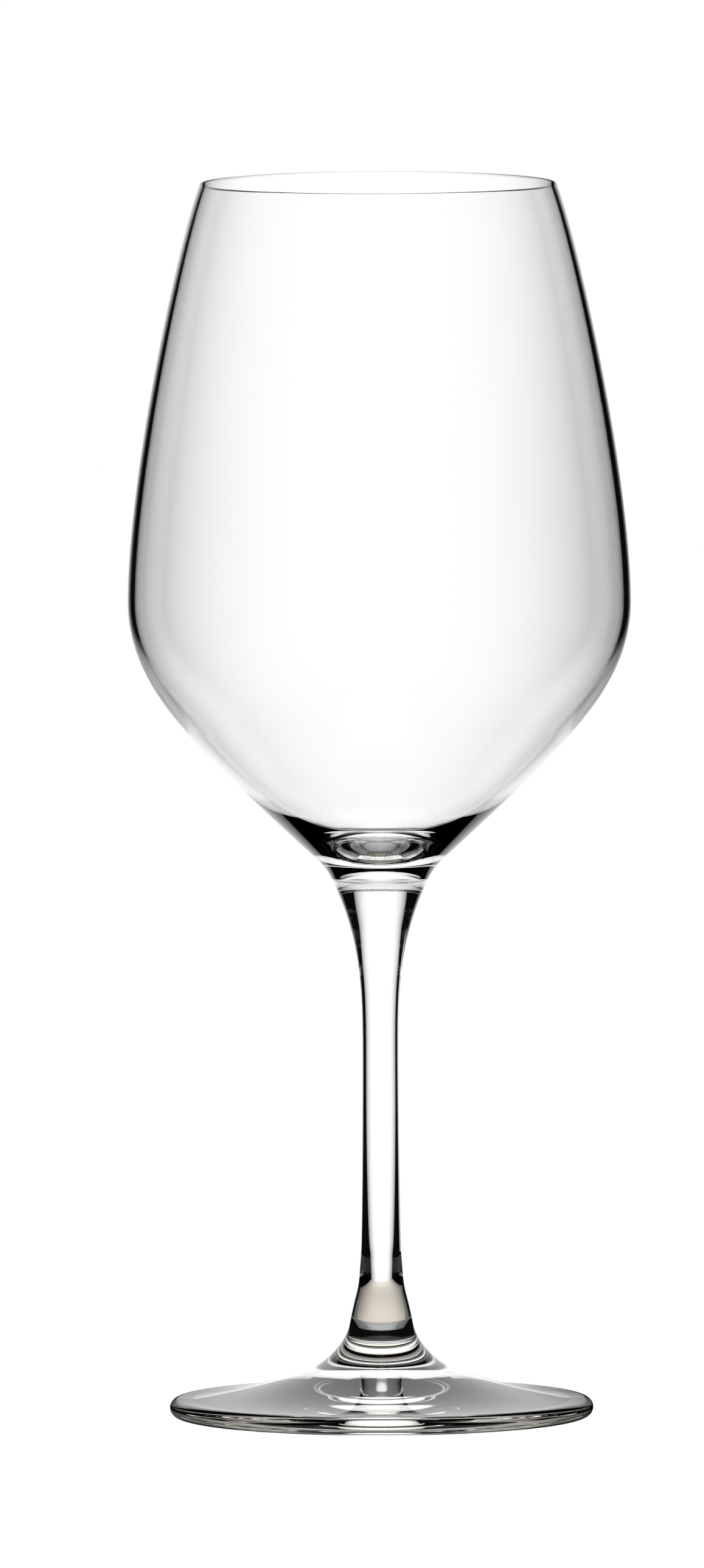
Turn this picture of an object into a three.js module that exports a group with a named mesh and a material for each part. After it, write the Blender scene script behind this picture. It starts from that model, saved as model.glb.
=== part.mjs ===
// Wine glass with a tall tapered bowl, a drawn stem and a wide disc foot.
//
// Three pieces of clear glass, made one by one and joined by heat:
//   bowl - the drinking bowl, from the rim down to the weld under its solid base
//   stem - the solid stem, flared at both ends to meet its neighbours
//   foot - the disc that the glass stands on, with its raised boss under the stem
//
// Units are millimetres, +Z is up, and the origin is the centre of the circle
// that the foot stands on. Every piece is a body of revolution about Z.

import * as THREE from 'three';

// ---------------------------------------------------------------- driving dimensions

const HEIGHT = 226;
const RIM_DIAMETER = 65.6;
const BELLY_DIAMETER = 92.2;
const WAIST_DIAMETER = 6.62;
const FOOT_DIAMETER = 77.7;

// Heights of the two welds above the table.
const BOWL_WELD_Z = 98.5;
const FOOT_WELD_Z = 14.5;

// Glass thickness of the bowl, and the height of the floor of its well.
const RIM_WALL = 1.04;
const BELLY_WALL = 1.22;
const SHOULDER_WALL = 1.85;
const WELL_Z = 103.6;

// Roundness of the foot's edge, and the height of the hollow underneath it.
const EDGE_RADIUS = 1.65;
const HOLLOW_HEIGHT = 3.34;

// How finely the round shapes are cut.
const BOWL_SEGMENTS = 48;
const STEM_SEGMENTS = 32;
const FOOT_SEGMENTS = 48;
const LONG_STEPS = 8;
const SHORT_STEPS = 4;

// ---------------------------------------------------------------- knots of the outline

// The outline runs down the outside of the glass through these knots. The angle
// says which way it runs there: 0 is straight down and a positive one leads
// outward. It keeps that way for about `before` and `after` millimetres.
const RIM = { angle: 20, after: 11.9 };
const BELLY = { radius: BELLY_DIAMETER / 2, z: 149.2, angle: 0, before: 22.5, after: 11.9 };
const SHOULDER = { radius: 34.08, z: 124, angle: -42.5, before: 5.9, after: 9.7 };
const NECK = { radius: 11.88, z: 102.4, angle: -48, before: 10.8, after: 1.9 };
const BOWL_WELD = { radius: 8.85, z: BOWL_WELD_Z, angle: -25.5, before: 1.6, after: 12.9 };
const WAIST = { radius: WAIST_DIAMETER / 2, z: 65, angle: 0, before: 13, after: 6 };
const ANKLE = { radius: 3.71, z: 30, angle: 3.7, before: 3.4, after: 8.75 };
const CUFF = { radius: 5.91, z: 16.5, angle: 10.8, before: 8.7, after: 0.73 };
const FOOT_WELD = { radius: 6.68, z: FOOT_WELD_Z, angle: 27, before: 0.47, after: 2.05 };
const CONE = { radius: 12.75, z: 8.8, angle: 70.6, before: 2.54, after: 6.7 };
const EDGE = { angle: 87.6, before: 10.6 };

// The inside of the bowl repeats the outside, set in by the wall, down to the well.
const INNER_BELLY = { before: 22, after: 11.5 };
const INNER_SHOULDER = { before: 6, after: 3.4 };
const WELL_SIDE = { radius: 11.55, z: WELL_Z + 3.35, angle: -70, before: 7.3, after: 2.5 };
const WELL_FLOOR = { radius: 0, z: WELL_Z, angle: -90, before: 5.4 };

// The underside of the foot rises from the flat ring that it stands on.
const RING = { radius: 34.5, z: 0, angle: -92.6, after: 17.6 };
const HOLLOW = { radius: 0, z: HOLLOW_HEIGHT, angle: -90, before: 4.2 };

// ---------------------------------------------------------------- outline helpers

// The way that an outline runs at an angle, and the way square to it, out of the glass.
function along(angle) {
  const turn = THREE.MathUtils.degToRad(angle);
  return new THREE.Vector2(Math.sin(turn), -Math.cos(turn));
}

function across(angle) {
  const turn = THREE.MathUtils.degToRad(angle);
  return new THREE.Vector2(Math.cos(turn), Math.sin(turn));
}

// A knot moved inward through a wall of the given thickness.
function setIn(knot, thickness, reach) {
  const step = across(knot.angle).multiplyScalar(thickness);
  return { ...knot, radius: knot.radius - step.x, z: knot.z - step.y, ...reach };
}

// A knot where a circle's edge runs at the angle of the knot.
function onCircle(centre, size, knot) {
  const point = across(knot.angle).multiplyScalar(size).add(centre);
  return { ...knot, radius: point.x, z: point.y };
}

// The smooth curve from one knot to the next.
function sweep(from, to, steps) {
  const start = new THREE.Vector2(from.radius, from.z);
  const end = new THREE.Vector2(to.radius, to.z);
  const curve = new THREE.CubicBezierCurve(
    start,
    start.clone().addScaledVector(along(from.angle), from.after),
    end.clone().addScaledVector(along(to.angle), -to.before),
    end,
  );
  return curve.getPoints(steps);
}

// The arc round a centre, between two angles measured from outward towards up.
function bend(centre, size, start, end, steps) {
  const points = [];
  for (let i = 0; i <= steps; i += 1) {
    const angle = THREE.MathUtils.lerp(start, end, i / steps);
    points.push(across(angle).multiplyScalar(size).add(centre));
  }
  return points;
}

// Joins stretches of outline end to end and drops the points that repeat.
function outline(...stretches) {
  const points = [];
  for (const point of stretches.flat()) {
    const last = points.at(-1);
    if (!last || last.distanceTo(point) > 1e-4) {
      points.push(point);
    }
  }
  return points;
}

const onAxis = (z) => new THREE.Vector2(0, z);

// ---------------------------------------------------------------- pieces

const LIP_RADIUS = RIM_WALL / 2;
const LIP_CENTRE = new THREE.Vector2(RIM_DIAMETER / 2 - LIP_RADIUS, HEIGHT - LIP_RADIUS);
const EDGE_CENTRE = new THREE.Vector2(FOOT_DIAMETER / 2 - EDGE_RADIUS, EDGE_RADIUS);

// Outer face of the bowl, from just under the rim down to the weld.
function bowlOutside() {
  return outline(
    sweep(onCircle(LIP_CENTRE, LIP_RADIUS, RIM), BELLY, LONG_STEPS),
    sweep(BELLY, SHOULDER, LONG_STEPS),
    sweep(SHOULDER, NECK, SHORT_STEPS),
    sweep(NECK, BOWL_WELD, SHORT_STEPS),
  );
}

// Inner face of the bowl, from the middle of the well up to just under the rim.
function bowlInside() {
  const rim = onCircle(LIP_CENTRE, -LIP_RADIUS, RIM);
  const belly = setIn(BELLY, BELLY_WALL, INNER_BELLY);
  const shoulder = setIn(SHOULDER, SHOULDER_WALL, INNER_SHOULDER);
  return outline(
    sweep(rim, belly, LONG_STEPS),
    sweep(belly, shoulder, LONG_STEPS),
    sweep(shoulder, WELL_SIDE, LONG_STEPS),
    sweep(WELL_SIDE, WELL_FLOOR, SHORT_STEPS),
  ).reverse();
}

function bowlGeometry() {
  return revolve(outline(
    bowlInside(),
    bend(LIP_CENTRE, LIP_RADIUS, 180 + RIM.angle, RIM.angle, SHORT_STEPS),
    bowlOutside(),
    [onAxis(BOWL_WELD_Z)],
  ), BOWL_SEGMENTS);
}

function stemGeometry() {
  return revolve(outline(
    [onAxis(BOWL_WELD_Z)],
    sweep(BOWL_WELD, WAIST, LONG_STEPS),
    sweep(WAIST, ANKLE, SHORT_STEPS),
    sweep(ANKLE, CUFF, SHORT_STEPS),
    sweep(CUFF, FOOT_WELD, SHORT_STEPS),
    [onAxis(FOOT_WELD_Z)],
  ), STEM_SEGMENTS);
}

function footGeometry() {
  return revolve(outline(
    [onAxis(FOOT_WELD_Z)],
    sweep(FOOT_WELD, CONE, SHORT_STEPS),
    sweep(CONE, onCircle(EDGE_CENTRE, EDGE_RADIUS, EDGE), LONG_STEPS),
    bend(EDGE_CENTRE, EDGE_RADIUS, EDGE.angle, -90, LONG_STEPS),
    sweep(RING, HOLLOW, LONG_STEPS),
  ), FOOT_SEGMENTS);
}

// Turns an outline in the (radius, z) half plane about the Z axis. The outlines
// run down their outer side, and a lathe's faces point out when they run up it.
function revolve(points, segments) {
  const geometry = new THREE.LatheGeometry(points.toReversed(), segments);
  geometry.rotateX(Math.PI / 2);
  return geometry;
}

// ---------------------------------------------------------------- assembly

function clearGlass(tint) {
  return new THREE.MeshStandardMaterial({
    color: tint,
    roughness: 0.02,
    metalness: 0,
    transparent: true,
    opacity: 0.35,
  });
}

function piece(name, geometry, material) {
  const mesh = new THREE.Mesh(geometry, material);
  mesh.name = name;
  return mesh;
}

const glass = new THREE.Group();
glass.add(piece('bowl', bowlGeometry(), clearGlass(0xf7f9f9)));
glass.add(piece('stem', stemGeometry(), clearGlass(0xf6f7f4)));
glass.add(piece('foot', footGeometry(), clearGlass(0xf2f4ef)));

export default glass;
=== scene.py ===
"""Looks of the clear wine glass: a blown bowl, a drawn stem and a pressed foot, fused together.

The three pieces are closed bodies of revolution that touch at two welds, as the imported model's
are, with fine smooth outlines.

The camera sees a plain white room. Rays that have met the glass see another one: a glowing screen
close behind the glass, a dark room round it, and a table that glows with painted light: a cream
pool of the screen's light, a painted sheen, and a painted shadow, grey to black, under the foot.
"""

import math

import bpy
from mathutils import Matrix, Vector


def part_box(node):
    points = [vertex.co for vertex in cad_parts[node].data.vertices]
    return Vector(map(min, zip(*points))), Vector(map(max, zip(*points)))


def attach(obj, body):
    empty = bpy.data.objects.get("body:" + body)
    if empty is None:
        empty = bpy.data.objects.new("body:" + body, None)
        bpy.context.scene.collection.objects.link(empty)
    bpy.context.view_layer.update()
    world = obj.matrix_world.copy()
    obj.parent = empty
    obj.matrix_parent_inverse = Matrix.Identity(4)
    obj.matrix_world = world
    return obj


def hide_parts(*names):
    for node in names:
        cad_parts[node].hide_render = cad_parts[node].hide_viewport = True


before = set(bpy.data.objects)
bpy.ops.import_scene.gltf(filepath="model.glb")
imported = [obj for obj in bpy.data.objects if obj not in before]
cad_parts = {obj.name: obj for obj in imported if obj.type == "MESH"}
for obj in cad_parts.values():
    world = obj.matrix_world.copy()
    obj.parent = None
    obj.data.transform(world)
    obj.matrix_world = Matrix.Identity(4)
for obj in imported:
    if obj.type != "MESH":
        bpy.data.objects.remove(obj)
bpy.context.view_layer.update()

# ---------------------------------------------------------------- sizes, in metres

MM = 0.001

BOWL_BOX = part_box("bowl")
STEM_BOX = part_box("stem")
FOOT_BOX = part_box("foot")

HEIGHT = BOWL_BOX[1].z
BELLY_RADIUS = BOWL_BOX[1].x
FOOT_RADIUS = FOOT_BOX[1].x
BOWL_WELD_Z = STEM_BOX[1].z
FOOT_WELD_Z = STEM_BOX[0].z

RIM_RADIUS = 32.8 * MM
RIM_WALL = 1.04 * MM
BELLY_WALL = 1.22 * MM
SHOULDER_WALL = 1.85 * MM
EDGE_RADIUS = 1.65 * MM

SEGMENTS = 256
LONG_STEPS = 56
SHORT_STEPS = 28
SHARP_ANGLE = 40

# Distances that are too short to matter.
ON_AXIS = 1e-9
SAME_POINT = 1e-7
SAME_HEIGHT = 1e-6
NO_RISE = 1e-9


# ---------------------------------------------------------------- knots of the outline

class Knot:
    """A point that the outline runs through, in millimetres.

    The angle says which way the outline runs there: 0 is straight down and a positive one leads
    outward. It keeps that way for about `before` and `after` millimetres, as far as the places
    `lead_in` and `lead_out`.
    """

    def __init__(self, radius, height, angle, before=0.0, after=0.0):
        turn = math.radians(angle)
        self.angle = angle
        self.place = Vector((radius, height)) * MM
        self.way = Vector((math.sin(turn), -math.cos(turn)))
        self.square = Vector((math.cos(turn), math.sin(turn)))
        self.lead_in = self.place - self.way * before * MM
        self.lead_out = self.place + self.way * after * MM

    def moved(self, distance, before, after):
        """The knot after a step square to the outline, out of the glass."""
        place = (self.place + self.square * distance) / MM
        return Knot(place.x, place.y, self.angle, before, after)


# Most of the knots' values were fitted to the photograph's outline and brightness by scratch
# programs, and then rounded.
LIP_RADIUS = RIM_WALL / 2
EDGE_TURN = 87.6
RIM_TURN = 20

LIP = Knot((RIM_RADIUS - LIP_RADIUS) / MM, (HEIGHT - LIP_RADIUS) / MM, RIM_TURN)
RIM = LIP.moved(LIP_RADIUS, 0, 11.9)
BELLY = Knot(BELLY_RADIUS / MM, 149.2, 0, 22.5, 11.9)
SHOULDER = Knot(34.08, 124, -42.5, 5.9, 9.7)
NECK = Knot(11.88, 102.4, -48, 10.8, 1.9)
BOWL_WELD = Knot(8.85, BOWL_WELD_Z / MM, -25.5, 1.6, 12.9)
WAIST = Knot(3.31, 65, 0, 13, 6)
ANKLE = Knot(3.71, 30, 3.7, 3.4, 8.75)
CUFF = Knot(5.91, 16.5, 10.8, 8.7, 0.73)
FOOT_WELD = Knot(6.68, FOOT_WELD_Z / MM, 27, 0.47, 2.05)
CONE = Knot(12.75, 8.8, 70.6, 2.54, 6.7)
EDGE_MIDDLE = Knot((FOOT_RADIUS - EDGE_RADIUS) / MM, EDGE_RADIUS / MM, EDGE_TURN)
EDGE = EDGE_MIDDLE.moved(EDGE_RADIUS, 10.6, 0)
RING = Knot(34.5, 0, -92.6, 0, 17.6)
HOLLOW = Knot(0, 3.34, -90, 4.2, 0)

INNER_RIM = LIP.moved(-LIP_RADIUS, 0, 11.9)
INNER_BELLY = BELLY.moved(-BELLY_WALL, 22, 11.5)
INNER_SHOULDER = SHOULDER.moved(-SHOULDER_WALL, 6, 3.4)
WELL_SIDE = Knot(11.55, 106.95, -70, 7.3, 2.5)
WELL_FLOOR = Knot(0, 103.6, -90, 5.4, 0)


# ---------------------------------------------------------------- outlines

def sweep(start, end, steps):
    """The smooth curve from one knot to the next."""
    points = []
    for i in range(steps + 1):
        t = i / steps
        u = 1 - t
        pull = 3 * u * u * t * start.lead_out + 3 * u * t * t * end.lead_in
        points.append(u ** 3 * start.place + pull + t ** 3 * end.place)
    return points


def bend(middle, size, start, end, steps):
    """The arc round a knot between two angles, in degrees from outward towards up."""
    points = []
    for i in range(steps + 1):
        angle = math.radians(start + (end - start) * i / steps)
        points.append(middle.place + size * Vector((math.cos(angle), math.sin(angle))))
    return points


def outline(*stretches):
    """Joins stretches end to end and drops the points that repeat."""
    points = []
    for stretch in stretches:
        for point in stretch:
            if not points or (points[-1] - point).length > SAME_POINT:
                points.append(point)
    return points


def bowl_outline():
    """From the middle of the well up the inside, over the lip, down the outside and across the weld."""
    inside = outline(
        sweep(INNER_RIM, INNER_BELLY, LONG_STEPS),
        sweep(INNER_BELLY, INNER_SHOULDER, LONG_STEPS),
        sweep(INNER_SHOULDER, WELL_SIDE, LONG_STEPS),
        sweep(WELL_SIDE, WELL_FLOOR, LONG_STEPS),
    )
    return outline(
        reversed(inside),
        bend(LIP, LIP_RADIUS, 180 + RIM_TURN, RIM_TURN, SHORT_STEPS),
        sweep(RIM, BELLY, LONG_STEPS),
        sweep(BELLY, SHOULDER, LONG_STEPS),
        sweep(SHOULDER, NECK, LONG_STEPS),
        sweep(NECK, BOWL_WELD, SHORT_STEPS),
        [Vector((0, BOWL_WELD_Z))],
    )


def stem_outline():
    """From one weld down the outside to the other."""
    return outline(
        [Vector((0, BOWL_WELD_Z))],
        sweep(BOWL_WELD, WAIST, LONG_STEPS),
        sweep(WAIST, ANKLE, SHORT_STEPS),
        sweep(ANKLE, CUFF, SHORT_STEPS),
        sweep(CUFF, FOOT_WELD, SHORT_STEPS),
        [Vector((0, FOOT_WELD_Z))],
    )


def foot_outline():
    """From the weld over the cone and round the edge to the hollow underneath."""
    return outline(
        [Vector((0, FOOT_WELD_Z))],
        sweep(FOOT_WELD, CONE, LONG_STEPS),
        sweep(CONE, EDGE, LONG_STEPS),
        bend(EDGE_MIDDLE, EDGE_RADIUS, EDGE_TURN, -90, SHORT_STEPS),
        sweep(RING, HOLLOW, LONG_STEPS),
    )


# ---------------------------------------------------------------- node helpers

class Nodes:
    """A node tree with short calls to make and join its nodes."""

    def __init__(self, tree):
        self.tree = tree
        tree.nodes.clear()

    def add(self, kind, inputs=(), **settings):
        node = self.tree.nodes.new(kind)
        for name, value in settings.items():
            setattr(node, name, value)
        for key, value in dict(inputs).items():
            if isinstance(value, bpy.types.NodeSocket):
                self.tree.links.new(value, node.inputs[key])
            else:
                node.inputs[key].default_value = value
        return node

    def math(self, operation, *values):
        return self.add("ShaderNodeMath", enumerate(values), operation=operation).outputs[0]

    def ease(self, value, start, end):
        """0 below start, 1 above end, and smooth between."""
        inputs = {"Value": value, "From Min": start, "From Max": end}
        return self.add("ShaderNodeMapRange", inputs, interpolation_type="SMOOTHSTEP").outputs[0]


# ---------------------------------------------------------------- materials

GLASS_IOR = 1.52

# Colours of the glass.
BLOWN_TINT = (1.0, 1.0, 1.0)
DRAWN_TINT = (1.0, 1.0, 0.995)
PRESSED_TINT = (0.95, 0.96, 0.94)

# Waviness of the surface: how wide and how high its waves are, and how much they are squeezed
# along Z. A squeeze below 1 draws them out along the glass.
BLOWN_WAVES = (30 * MM, 0.004 * MM, 0.4)
DRAWN_WAVES = (12 * MM, 0.002 * MM, 0.25)
PRESSED_WAVES = (10 * MM, 0.006 * MM, 1.0)


def glass_material(name, tint, waves):
    """Clear glass with the faint waviness that hot working leaves on its surface."""
    wave_size, wave_height, squeeze = waves
    material = bpy.data.materials.new(name)
    material.use_nodes = True
    n = Nodes(material.node_tree)
    place = n.add("ShaderNodeTexCoord").outputs["Object"]
    stretch = n.add("ShaderNodeMapping", {"Vector": place, "Scale": (1, 1, squeeze)}).outputs[0]
    noise = n.add("ShaderNodeTexNoise", {"Vector": stretch, "Scale": 1 / wave_size, "Detail": 1.0})
    bump = n.add("ShaderNodeBump", {"Height": noise.outputs[0], "Distance": wave_height})
    shader = n.add("ShaderNodeBsdfPrincipled", {
        "Base Color": (*tint, 1),
        "Roughness": 0.0,
        "IOR": GLASS_IOR,
        "Transmission Weight": 1.0,
        "Normal": bump.outputs[0],
    })
    n.add("ShaderNodeOutputMaterial", {"Surface": shader.outputs[0]})
    return material


def weld_material():
    """The face where two pieces are fused: no surface is left there, so light goes straight through."""
    material = bpy.data.materials.new("fused_weld")
    material.use_nodes = True
    n = Nodes(material.node_tree)
    shader = n.add("ShaderNodeBsdfPrincipled", {"Alpha": 0.0, "Roughness": 0.0})
    n.add("ShaderNodeOutputMaterial", {"Surface": shader.outputs[0]})
    return material


# ---------------------------------------------------------------- pieces

def revolve(name, points, body_material, weld, weld_heights):
    """Turns an outline about Z into a smooth closed mesh. Its flat weld faces take the weld material."""
    verts, faces, slots, rings = [], [], [], []
    for point in points:
        if point.x < ON_AXIS:
            rings.append([len(verts)])
            verts.append((0, 0, point.y))
            continue
        rings.append(range(len(verts), len(verts) + SEGMENTS))
        for i in range(SEGMENTS):
            turn = math.tau * i / SEGMENTS
            verts.append((point.x * math.cos(turn), point.x * math.sin(turn), point.y))
    for (p, a), (q, b) in zip(zip(points, rings), zip(points[1:], rings[1:])):
        at_weld = any(abs(p.y - z) < SAME_HEIGHT for z in weld_heights)
        flat = at_weld and abs(p.y - q.y) < NO_RISE
        for i in range(SEGMENTS):
            j = (i + 1) % SEGMENTS
            if len(a) == 1:
                faces.append((a[0], b[i], b[j]))
            elif len(b) == 1:
                faces.append((a[j], a[i], b[0]))
            else:
                faces.append((a[j], a[i], b[i], b[j]))
            slots.append(1 if flat else 0)
    mesh = bpy.data.meshes.new(name)
    mesh.from_pydata(verts, [], faces)
    mesh.materials.append(body_material)
    mesh.materials.append(weld)
    mesh.polygons.foreach_set("material_index", slots)
    mesh.shade_smooth()
    mesh.set_sharp_from_angle(angle=math.radians(SHARP_ANGLE))
    mesh.update()
    piece = bpy.data.objects.new(name, mesh)
    bpy.context.scene.collection.objects.link(piece)
    return piece


weld = weld_material()
bowl = revolve(
    "bowl_glass",
    bowl_outline(),
    glass_material("blown_glass", BLOWN_TINT, BLOWN_WAVES),
    weld,
    [BOWL_WELD_Z],
)
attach(bowl, "root")
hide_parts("bowl")

stem = revolve(
    "stem_glass",
    stem_outline(),
    glass_material("drawn_glass", DRAWN_TINT, DRAWN_WAVES),
    weld,
    [BOWL_WELD_Z, FOOT_WELD_Z],
)
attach(stem, "root")
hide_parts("stem")

foot = revolve(
    "foot_glass",
    foot_outline(),
    glass_material("pressed_glass", PRESSED_TINT, PRESSED_WAVES),
    weld,
    [FOOT_WELD_Z],
)
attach(foot, "root")
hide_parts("foot")


# ---------------------------------------------------------------- studio

WHITE = (1.0, 1.0, 1.0, 1.0)
# The cream of the screen's light painted on the table.
SCREEN_GLOW_CREAM = (1.0, 0.93, 0.83, 1.0)

# The lit screen behind the glass: bright in the middle and fading to both sides. Its values and
# the table's come from the photograph's brightness, some by a scratch program's search and some
# by hand.
SCREEN_DISTANCE = 0.105
SCREEN_HEIGHT = 0.55
SCREEN_SOFT_TOP = 0.12
SCREEN_HALF_WIDTH = 0.3
SCREEN_LEVEL = 1.2
SCREEN_SPREAD = 0.0642
SCREEN_FALL = 3.3
SCREEN_EDGE = (1.06, 1.18)
SCREEN_CENTRE = -0.002

# How its width changes with height: narrow at the table, widest beside the stem.
SCREEN_TABLE_SHARE = 0.5
SCREEN_STEM_SHARE = 1.35
SCREEN_WIDENS = (0.0, 0.055)
SCREEN_NARROWS = (0.1, 0.14)

# The dark room beyond the screen, and the soft white fields in it that are seen through the glass
# from other sides: the middle of each one, and its lowest and highest edge, in degrees.
ROOM_LEVEL = 0.003
FIELDS = ((-92, -25, 25), (135, -40, 15), (-45, -40, -20))
FIELD_CORE = 14
FIELD_HALF_WIDTH = 30
FIELD_BLUR = 5
FIELD_LEVEL = 0.8
FIELD_CORE_LEVEL = 0.35

# The table glows with painted light: a cream pool of the screen's light, fading to both sides as the
# screen does, and a painted sheen, brighter the flatter it is looked at. Under the foot a painted
# shadow makes it grey to rays that have met no reflection, and nearly black to the others. It
# reaches the near radius all round, and as an apron as far back as the screen.
# The painted shadow under the foot: the radii where it gives way to the table, and its levels.
TABLE_SHADE_START = 0.036
TABLE_SHADE_END = 0.044
TABLE_SHADE_LEVEL = 0.004
TABLE_SHADOW_STRAIGHT_LEVEL = 0.25
# The painted sheen: the table's glow looked at flat and steep, and the angle it falls off over.
TABLE_SHEEN_FLAT_LEVEL = 1.25
TABLE_SHEEN_STEEP_LEVEL = 0.3
TABLE_SHEEN_ANGLE = 22
# How wide the painted pool of the screen's light lies across the table.
TABLE_GLOW_SCALE = 0.9
TABLE_NEAR_RADIUS = 0.075
APRON_HALF_WIDTH = 0.15
FLOOR_HALF_WIDTH = 4.0


def light_world():
    """A dark room with soft white fields, for rays that have met the glass.

    The fields are only seen through it, never as reflections in it. The camera itself sees white
    everywhere.
    """
    world = bpy.data.worlds.new("studio")
    bpy.context.scene.world = world
    world.use_nodes = True
    n = Nodes(world.node_tree)
    way = n.add("ShaderNodeTexCoord").outputs["Generated"]
    axes = n.add("ShaderNodeSeparateXYZ", {"Vector": way})
    azimuth = n.math("DEGREES", n.math("ARCTAN2", axes.outputs["X"], axes.outputs["Y"]))
    elevation = n.math("DEGREES", n.math("ARCSINE", axes.outputs["Z"]))
    lit = 0.0
    for centre, low, high in FIELDS:
        away = n.math("ABSOLUTE", n.math("SUBTRACT", azimuth, centre))
        beside = n.ease(away, FIELD_HALF_WIDTH - FIELD_BLUR, FIELD_HALF_WIDTH + FIELD_BLUR)
        core = n.math("SUBTRACT", 1.0, n.ease(away, 0.0, FIELD_CORE))
        level = n.math("MULTIPLY_ADD", core, FIELD_CORE_LEVEL, FIELD_LEVEL)
        above = n.ease(elevation, low - FIELD_BLUR, low + FIELD_BLUR)
        below = n.math("SUBTRACT", 1.0, n.ease(elevation, high - FIELD_BLUR, high + FIELD_BLUR))
        band = n.math("MULTIPLY", above, below)
        patch = n.math("MULTIPLY", n.math("MULTIPLY", level, n.math("SUBTRACT", 1.0, beside)), band)
        lit = n.math("MAXIMUM", lit, patch)
    path = n.add("ShaderNodeLightPath")
    straight = n.math("LESS_THAN", path.outputs["Glossy Depth"], 0.5)
    lit = n.math("MAXIMUM", n.math("MULTIPLY", lit, straight), ROOM_LEVEL)
    around = n.add("ShaderNodeBackground", {"Color": WHITE, "Strength": lit})
    seen = n.add("ShaderNodeBackground", {"Color": WHITE})
    camera_ray = path.outputs["Is Camera Ray"]
    shown = n.add("ShaderNodeMixShader", {0: camera_ray, 1: around.outputs[0], 2: seen.outputs[0]})
    n.add("ShaderNodeOutputWorld", {"Surface": shown.outputs[0]})


def stage_plane(name, corners):
    """A flat four-cornered piece of the studio, with an empty node material to fill."""
    mesh = bpy.data.meshes.new(name)
    mesh.from_pydata(corners, [], [(0, 1, 2, 3)])
    material = bpy.data.materials.new(name)
    material.use_nodes = True
    mesh.materials.append(material)
    plane = bpy.data.objects.new(name, mesh)
    bpy.context.scene.collection.objects.link(plane)
    return plane, Nodes(material.node_tree)


def glow_across(n, x, z):
    """How bright the screen is at a place on it, from 1 in the middle to 0 past its sides."""
    widened = n.ease(z, *SCREEN_WIDENS)
    narrowed = n.ease(z, *SCREEN_NARROWS)
    growth = SCREEN_STEM_SHARE - SCREEN_TABLE_SHARE
    low = n.math("MULTIPLY_ADD", widened, growth, SCREEN_TABLE_SHARE)
    spread = n.math("MULTIPLY_ADD", narrowed, 1 - SCREEN_STEM_SHARE, low)
    away = n.math("ABSOLUTE", n.math("SUBTRACT", x, SCREEN_CENTRE))
    share = n.math("DIVIDE", away, n.math("MULTIPLY", spread, SCREEN_SPREAD))
    glow = n.math("EXPONENT", n.math("MULTIPLY", n.math("POWER", share, SCREEN_FALL), -1.0))
    return n.math("MULTIPLY", glow, n.math("SUBTRACT", 1.0, n.ease(share, *SCREEN_EDGE)))


def hang_screen():
    """The screen glows towards the glass only. It hides nothing, and the camera does not see it."""
    w, y, h = SCREEN_HALF_WIDTH, SCREEN_DISTANCE, SCREEN_HEIGHT
    plane, n = stage_plane("screen", [(-w, y, 0), (w, y, 0), (w, y, h), (-w, y, h)])
    plane.visible_camera = False
    axes = n.add("ShaderNodeSeparateXYZ", {"Vector": n.add("ShaderNodeTexCoord").outputs["Object"]})
    glow = glow_across(n, axes.outputs["X"], axes.outputs["Z"])
    top = n.ease(axes.outputs["Z"], SCREEN_HEIGHT - SCREEN_SOFT_TOP, SCREEN_HEIGHT)
    front = n.math("SUBTRACT", 1.0, n.add("ShaderNodeNewGeometry").outputs["Backfacing"])
    level = n.math("MULTIPLY", n.math("MULTIPLY", glow, front), SCREEN_LEVEL - ROOM_LEVEL)
    level = n.math("MULTIPLY", level, n.math("SUBTRACT", 1.0, top))
    light = n.add("ShaderNodeEmission", {"Color": WHITE, "Strength": level})
    clear = n.add("ShaderNodeBsdfTransparent")
    both = n.add("ShaderNodeAddShader", {0: light.outputs[0], 1: clear.outputs[0]})
    n.add("ShaderNodeOutputMaterial", {"Surface": both.outputs[0]})


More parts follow.
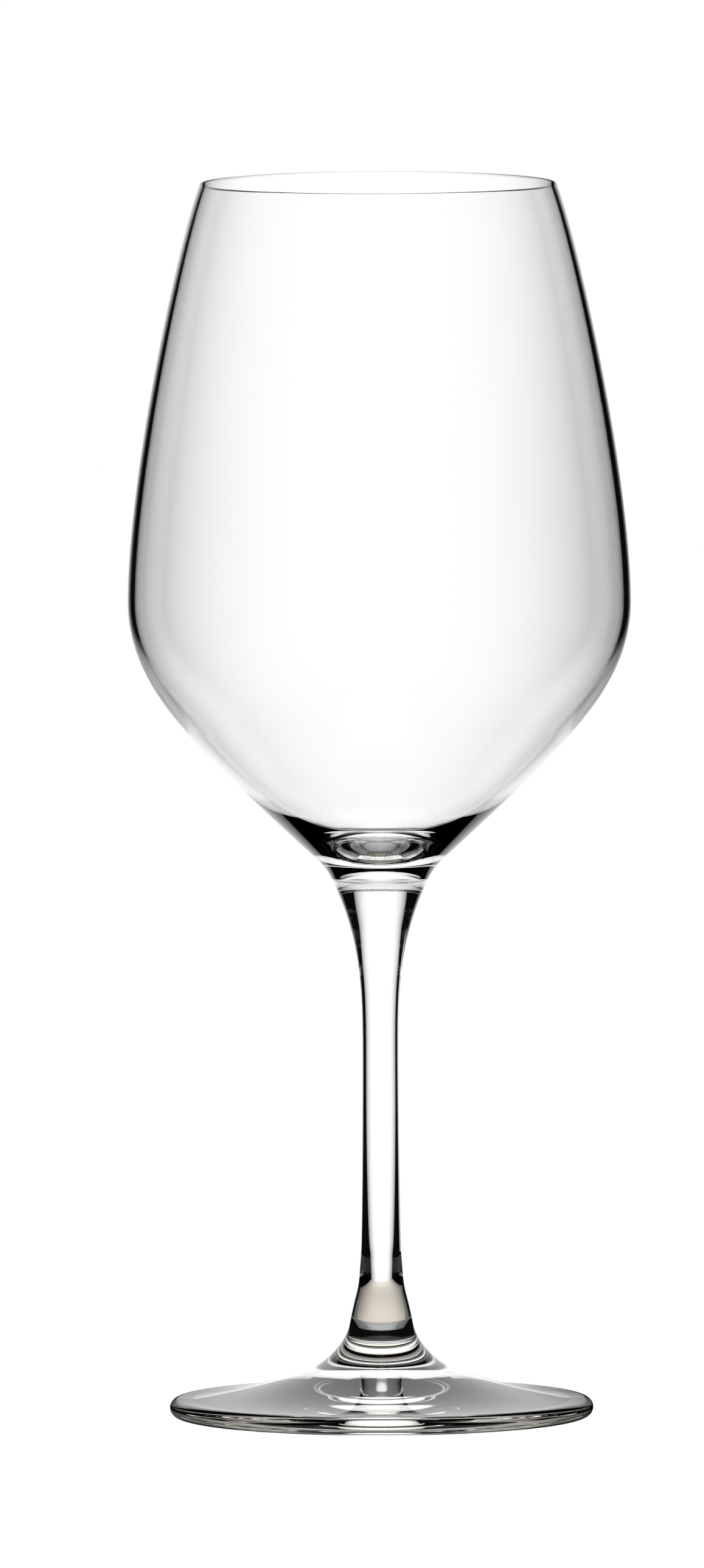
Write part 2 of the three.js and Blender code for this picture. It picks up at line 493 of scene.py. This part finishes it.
def lay_floor():
    """A pale floor that the camera sees as the same white as the background.

    Rays that have met the glass see the table there, and nothing where the table ends. The table
    glows with painted light: a cream pool of the screen's light, a painted sheen, and a painted
    shadow under the foot.
    """
    w = FLOOR_HALF_WIDTH
    _, n = stage_plane("floor", [(-w, -w, 0), (w, -w, 0), (w, w, 0), (-w, w, 0)])
    place = n.add("ShaderNodeTexCoord").outputs["Object"]
    axes = n.add("ShaderNodeSeparateXYZ", {"Vector": place})
    radius = n.add("ShaderNodeVectorMath", {0: place}, operation="LENGTH").outputs["Value"]
    # Painted sheen: the table glows brighter the flatter a ray meets it.
    facing = n.add("ShaderNodeLayerWeight", {"Blend": 0.5}).outputs["Facing"]
    angle = n.math("DEGREES", n.math("ARCSINE", n.math("SUBTRACT", 1.0, facing)))
    bell = n.math("POWER", n.math("DIVIDE", angle, TABLE_SHEEN_ANGLE), 2.0)
    sheen = n.math("EXPONENT", n.math("MULTIPLY", bell, -1.0))
    level = n.math("MULTIPLY_ADD", sheen, TABLE_SHEEN_FLAT_LEVEL - TABLE_SHEEN_STEEP_LEVEL, TABLE_SHEEN_STEEP_LEVEL)
    # Painted pool of the screen's light across the table.
    across = n.math("MULTIPLY", axes.outputs["X"], TABLE_GLOW_SCALE)
    level = n.math("MULTIPLY", level, glow_across(n, across, axes.outputs["Z"]))
    # Painted shadow under the foot: the glow gives way to the shade level inside the foot's radius.
    outside_foot_shadow = n.add("ShaderNodeMapRange", {
        "Value": radius, "From Min": TABLE_SHADE_START, "From Max": TABLE_SHADE_END,
    }).outputs[0]
    path = n.add("ShaderNodeLightPath")
    straight = n.math("LESS_THAN", path.outputs["Glossy Depth"], 0.5)
    shade = n.math("MULTIPLY_ADD", straight, TABLE_SHADOW_STRAIGHT_LEVEL, TABLE_SHADE_LEVEL)
    level = n.add("ShaderNodeMapRange", {"Value": outside_foot_shadow, "To Min": shade, "To Max": level}).outputs[0]
    near = n.math("LESS_THAN", radius, TABLE_NEAR_RADIUS)
    behind = n.math("GREATER_THAN", axes.outputs["Y"], 0.0)
    before_screen = n.math("LESS_THAN", axes.outputs["Y"], SCREEN_DISTANCE)
    middle = n.math("LESS_THAN", n.math("ABSOLUTE", axes.outputs["X"]), APRON_HALF_WIDTH)
    apron = n.math("MULTIPLY", middle, n.math("MULTIPLY", behind, before_screen))
    solid = n.math("MAXIMUM", near, apron)
    # Cream for the painted glow of the screen's light, white in the painted shadow under the foot.
    tint = n.add("ShaderNodeMix", {0: outside_foot_shadow, 6: WHITE, 7: SCREEN_GLOW_CREAM}, data_type="RGBA").outputs[2]
    table = n.add("ShaderNodeEmission", {"Color": tint, "Strength": level})
    clear = n.add("ShaderNodeBsdfTransparent")
    under = n.add("ShaderNodeMixShader", {0: solid, 1: clear.outputs[0], 2: table.outputs[0]})
    pale = n.add("ShaderNodeEmission", {"Color": WHITE})
    camera_ray = path.outputs["Is Camera Ray"]
    mix = n.add("ShaderNodeMixShader", {0: camera_ray, 1: under.outputs[0], 2: pale.outputs[0]})
    n.add("ShaderNodeOutputMaterial", {"Surface": mix.outputs[0]})


light_world()
hang_screen()
lay_floor()


# ---------------------------------------------------------------- camera

CAMERA_PLACE = Vector((0, -1.394, 0.1358))
CAMERA_AIM = Vector((-0.0051, 0, 0.1159))
CAMERA_LENS = 174.6
CAMERA_SENSOR = 36
CAMERA_ROLL = -0.17


def place_camera():
    """A long lens about 1.4 m in front of the glass and a little above the middle of it."""
    data = bpy.data.cameras.new("camera")
    data.sensor_width = CAMERA_SENSOR
    data.lens = CAMERA_LENS
    camera = bpy.data.objects.new("camera", data)
    camera.location = CAMERA_PLACE
    turn = (CAMERA_AIM - CAMERA_PLACE).to_track_quat("-Z", "Y").to_matrix()
    roll = Matrix.Rotation(math.radians(CAMERA_ROLL), 3, "Z")
    camera.rotation_euler = (turn @ roll).to_euler()
    bpy.context.scene.collection.objects.link(camera)
    bpy.context.scene.camera = camera


place_camera()

scene = bpy.context.scene
scene.view_settings.view_transform = "Standard"
scene.cycles.max_bounces = 24
scene.cycles.transmission_bounces = 24
scene.cycles.glossy_bounces = 4
scene.cycles.transparent_max_bounces = 64
